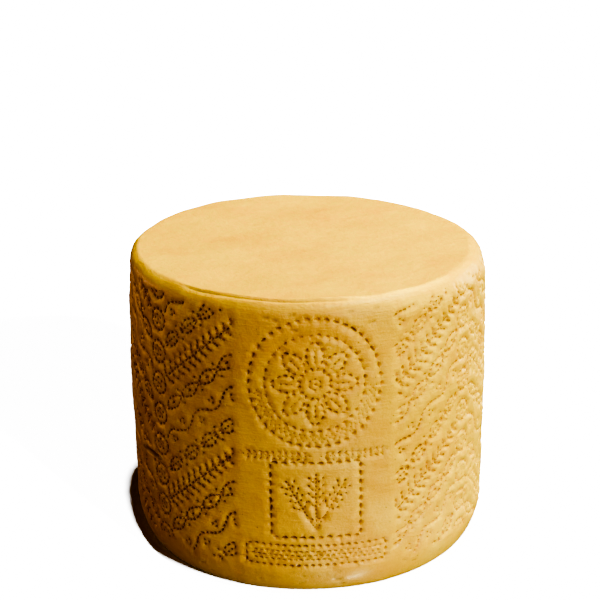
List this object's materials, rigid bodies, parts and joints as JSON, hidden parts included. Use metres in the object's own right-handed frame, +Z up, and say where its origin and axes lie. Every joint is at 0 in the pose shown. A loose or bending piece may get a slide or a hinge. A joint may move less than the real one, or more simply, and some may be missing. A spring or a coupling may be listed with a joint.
{
  "type": "pecorino romano cheese wheel",
  "caption": "Whole drum-shaped wheel of hard sheep's-milk grating cheese with a straw-coloured rind pressed with dotted marks, standing on its flat base.",
  "frame": {"origin": "middle of the flat base, at the bottom", "axes": "+Z up along the drum's height, from the base to the top face; -Y out of the stamped front panel; +X to the right as seen from the front"},
  "size_m": [0.32, 0.318, 0.272],
  "materials": {
    "rind": "waxy straw-coloured rind with a soft satin sheen"
  },
  "bodies": {
    "root": {"cheese_wheel": "rind"}
  },
  "joints": []
}
